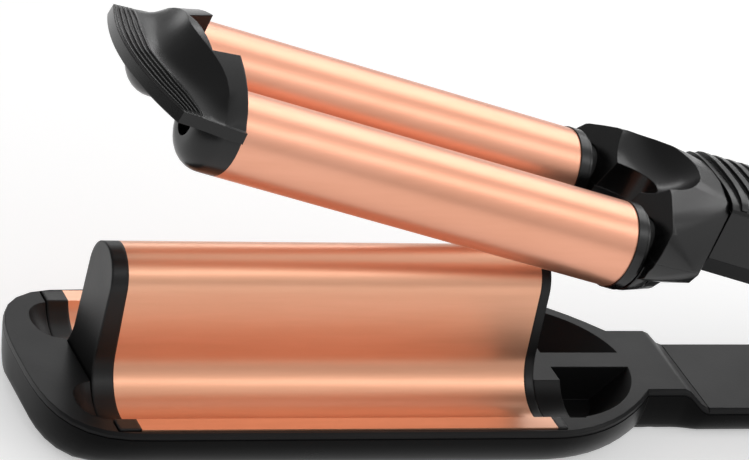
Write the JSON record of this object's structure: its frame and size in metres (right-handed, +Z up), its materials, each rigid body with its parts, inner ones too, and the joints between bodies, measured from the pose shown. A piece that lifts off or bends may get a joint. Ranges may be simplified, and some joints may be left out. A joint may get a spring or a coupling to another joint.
{
  "type": "hair waver",
  "caption": "Hair waver: heated barrels on a spring-opened arm close over a wave-shaped heated plate, with a black plastic handle, control buttons and a turning cord gland.",
  "frame": {"origin": "on the flat underside that the lower arm rests on (z = 0), below the middle of the wave plate, on the middle plane", "axes": "+X runs from the tip to the handle and the cord gland, +Y to the far side of the picture, +Z up"},
  "size_m": [0.3651, 0.0844, 0.12],
  "materials": {
    "black_plastic": "satin",
    "grey_plastic": "satin",
    "copper_coating": "satin",
    "steel": "satin",
    "bright_trim": "satin",
    "heater_aluminium": "matte",
    "heater_ceramic": "matte",
    "board_green": "satin",
    "light_red": "gloss",
    "gland_rubber": "matte"
  },
  "bodies": {
    "lower_arm": {"lower_shell": "black_plastic", "lower_deck": "grey_plastic", "lower_handle_cover": "grey_plastic", "wave_plate": "copper_coating", "front_plate_cap": "black_plastic", "rear_plate_cap": "black_plastic", "plate_carrier": "grey_plastic", "plate_heat_spreader": "heater_aluminium", "plate_heater": "heater_ceramic", "plate_clip": "steel", "plate_sensor": "heater_ceramic", "lower_screws": "steel", "hinge_bracket": "grey_plastic", "hinge_pin": "steel", "pin_caps": "steel", "spring_seat": "grey_plastic", "opening_spring": "steel"},
    "upper_arm": {"near_barrel": "copper_coating", "far_barrel": "copper_coating", "near_clamps": "heater_aluminium", "far_clamps": "heater_aluminium", "barrel_heaters": "heater_ceramic", "barrel_sensor": "heater_ceramic", "tip_cap": "black_plastic", "tip_screws": "steel", "near_collar": "black_plastic", "far_collar": "black_plastic", "yoke_upper": "black_plastic", "yoke_lower": "black_plastic", "handle_frame": "black_plastic", "handle_belly": "grey_plastic", "handle_cover": "black_plastic", "hinge_block": "grey_plastic", "hinge_screws": "steel", "control_board": "board_green", "board_parts": "grey_plastic", "key_switches": "black_plastic", "status_light": "light_red"},
    "power_button": {"power_button": "bright_trim"},
    "plus_button": {"plus_button": "grey_plastic"},
    "minus_button": {"minus_button": "grey_plastic"},
    "cord_swivel": {"cord_gland": "gland_rubber", "gland_clip": "steel"}
  },
  "joints": [
    {"name": "arm_hinge", "type": "hinge", "parent": "lower_arm", "child": "upper_arm", "pos_m": [0.2372, 0, 0.0091], "axis": [0, 1, 0], "range_deg": [-14.9, 0], "stiffness_Nm_per_rad": 1.5, "springref_deg": 25.78, "deforming": ["opening_spring"]},
    {"name": "power_press", "type": "slide", "parent": "upper_arm", "child": "power_button", "axis": [-0.2588, 0, -0.9659], "range_m": [0, 0.0006], "stiffness_N_per_m": 800, "springref_m": -0.0006},
    {"name": "plus_press", "type": "slide", "parent": "upper_arm", "child": "plus_button", "axis": [-0.2588, 0, -0.9659], "range_m": [0, 0.0006], "stiffness_N_per_m": 800, "springref_m": -0.0006},
    {"name": "minus_press", "type": "slide", "parent": "upper_arm", "child": "minus_button", "axis": [-0.2588, 0, -0.9659], "range_m": [0, 0.0006], "stiffness_N_per_m": 800, "springref_m": -0.0006},
    {"name": "cord_turn", "type": "hinge", "parent": "upper_arm", "child": "cord_swivel", "pos_m": [0.26824, 0, 0.02449], "axis": [0.9659, 0, -0.2588], "continuous": true}
  ]
}
